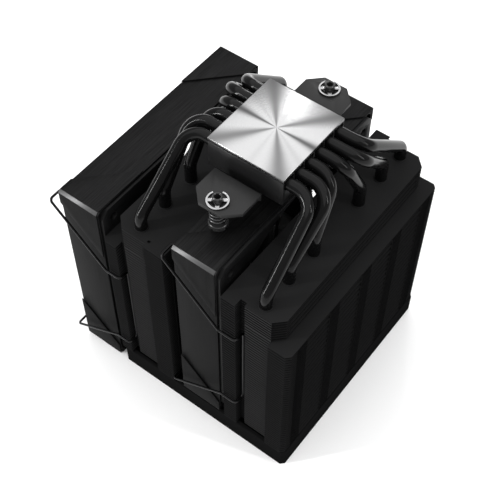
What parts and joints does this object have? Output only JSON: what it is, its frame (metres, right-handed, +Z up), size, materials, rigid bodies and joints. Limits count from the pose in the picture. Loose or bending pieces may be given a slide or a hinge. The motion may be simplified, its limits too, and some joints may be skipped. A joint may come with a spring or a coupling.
{
  "type": "cpu tower cooler",
  "caption": "Black twin-tower air cooler with heat pipes, a polished contact plate, spring-nut mounting bar and two fans in metal sleeves held by wire clips.",
  "frame": {"origin": "centre of the flat top cover that the cooler stands on, upside down as it is laid before fitting, on the contact plate's axis", "axes": "+Z up from the cover to the contact plate, +X the way the air blows from the outer fan through both towers, +Y along the fins"},
  "size_m": [0.1405, 0.1306, 0.1666],
  "materials": {
    "contact_plate": "polished nickel turned in rings",
    "base": "satin black",
    "mounting_steel": "satin black",
    "cover": "fine matt black",
    "fins": "matt black coating",
    "heat_pipe": "glossy black nickel",
    "spring_steel": "plain",
    "bright_steel": "bright",
    "brushed_sleeve": "brushed, black anodised",
    "fan_plastic": "moulded",
    "magnet": "dull",
    "bearing": "sintered",
    "coil": "enamelled copper",
    "circuit_board": "satin",
    "clip_wire": "dark satin wire"
  },
  "bodies": {
    "cooler": {"contact_plate": "contact_plate", "base_block": "base", "mounting_bar": "mounting_steel", "top_cover": "cover", "outer_tower_wide_fins": "fins", "outer_tower_narrow_fins": "fins", "rear_tower_wide_fins": "fins", "rear_tower_narrow_fins": "fins", "heat_pipe_1": "heat_pipe", "heat_pipe_2": "heat_pipe", "heat_pipe_3": "heat_pipe", "heat_pipe_4": "heat_pipe", "heat_pipe_5": "heat_pipe", "heat_pipe_6": "heat_pipe", "bar_screw_1": "mounting_steel", "bar_screw_2": "mounting_steel", "nut_spring_1": "spring_steel", "nut_spring_2": "spring_steel", "outer_fan_sleeve": "brushed_sleeve", "outer_fan_frame": "fan_plastic", "outer_fan_bearing": "bearing", "outer_fan_stator": "coil", "outer_fan_circuit_board": "circuit_board", "outer_fan_corner_guard_1": "brushed_sleeve", "outer_fan_corner_guard_2": "brushed_sleeve", "outer_fan_corner_guard_3": "brushed_sleeve", "outer_fan_corner_guard_4": "brushed_sleeve", "middle_fan_sleeve": "brushed_sleeve", "middle_fan_frame": "fan_plastic", "middle_fan_bearing": "bearing", "middle_fan_stator": "coil", "middle_fan_circuit_board": "circuit_board", "middle_fan_corner_guard_1": "brushed_sleeve", "middle_fan_corner_guard_2": "brushed_sleeve", "middle_fan_corner_guard_3": "brushed_sleeve", "middle_fan_corner_guard_4": "brushed_sleeve"},
    "outer_fan_wheel": {"outer_fan_rotor": "fan_plastic", "outer_fan_magnet_ring": "magnet", "outer_fan_shaft": "bright_steel"},
    "middle_fan_wheel": {"middle_fan_rotor": "fan_plastic", "middle_fan_magnet_ring": "magnet", "middle_fan_shaft": "bright_steel"},
    "nut_carrier_1": {"retaining_ring_1": "bright_steel"},
    "nut_1": {"mounting_nut_1": "mounting_steel"},
    "nut_carrier_2": {"retaining_ring_2": "bright_steel"},
    "nut_2": {"mounting_nut_2": "mounting_steel"},
    "outer_fan_left_clip": {"outer_fan_clip_left": "clip_wire"},
    "outer_fan_right_clip": {"outer_fan_clip_right": "clip_wire"},
    "middle_fan_left_clip": {"middle_fan_clip_left": "clip_wire"},
    "middle_fan_right_clip": {"middle_fan_clip_right": "clip_wire"}
  },
  "joints": [
    {"name": "outer_fan_spin", "type": "hinge", "parent": "cooler", "child": "outer_fan_wheel", "pos_m": [-0.0674, 0, 0.0625], "axis": [1, 0, 0], "continuous": true},
    {"name": "middle_fan_spin", "type": "hinge", "parent": "cooler", "child": "middle_fan_wheel", "pos_m": [0.0023, 0, 0.0753], "axis": [1, 0, 0], "continuous": true},
    {"name": "nut_1_press", "type": "slide", "parent": "cooler", "child": "nut_carrier_1", "axis": [0, 0, 1], "range_m": [0, 0.004], "stiffness_N_per_m": 800, "springref_m": -0.003, "deforming": ["nut_spring_1"]},
    {"name": "nut_1_turn", "type": "hinge", "parent": "nut_carrier_1", "child": "nut_1", "pos_m": [0, -0.042, 0.1566], "axis": [0, 0, 1], "continuous": true},
    {"name": "nut_2_press", "type": "slide", "parent": "cooler", "child": "nut_carrier_2", "axis": [0, 0, 1], "range_m": [0, 0.004], "stiffness_N_per_m": 800, "springref_m": -0.003, "deforming": ["nut_spring_2"]},
    {"name": "nut_2_turn", "type": "hinge", "parent": "nut_carrier_2", "child": "nut_2", "pos_m": [0, 0.042, 0.1566], "axis": [0, 0, 1], "continuous": true},
    {"name": "outer_fan_left_clip_swing", "type": "hinge", "parent": "cooler", "child": "outer_fan_left_clip", "pos_m": [-0.0445, -0.0602, 0.0625], "axis": [0, 0, 1], "range_deg": [0, 18]},
    {"name": "outer_fan_right_clip_swing", "type": "hinge", "parent": "cooler", "child": "outer_fan_right_clip", "pos_m": [-0.0445, 0.0602, 0.0625], "axis": [0, 0, -1], "range_deg": [0, 18]},
    {"name": "middle_fan_left_clip_swing", "type": "hinge", "parent": "cooler", "child": "middle_fan_left_clip", "pos_m": [0.0265, -0.0602, 0.0753], "axis": [0, 0, 1], "range_deg": [0, 18]},
    {"name": "middle_fan_right_clip_swing", "type": "hinge", "parent": "cooler", "child": "middle_fan_right_clip", "pos_m": [0.0265, 0.0602, 0.0753], "axis": [0, 0, -1], "range_deg": [0, 18]}
  ]
}
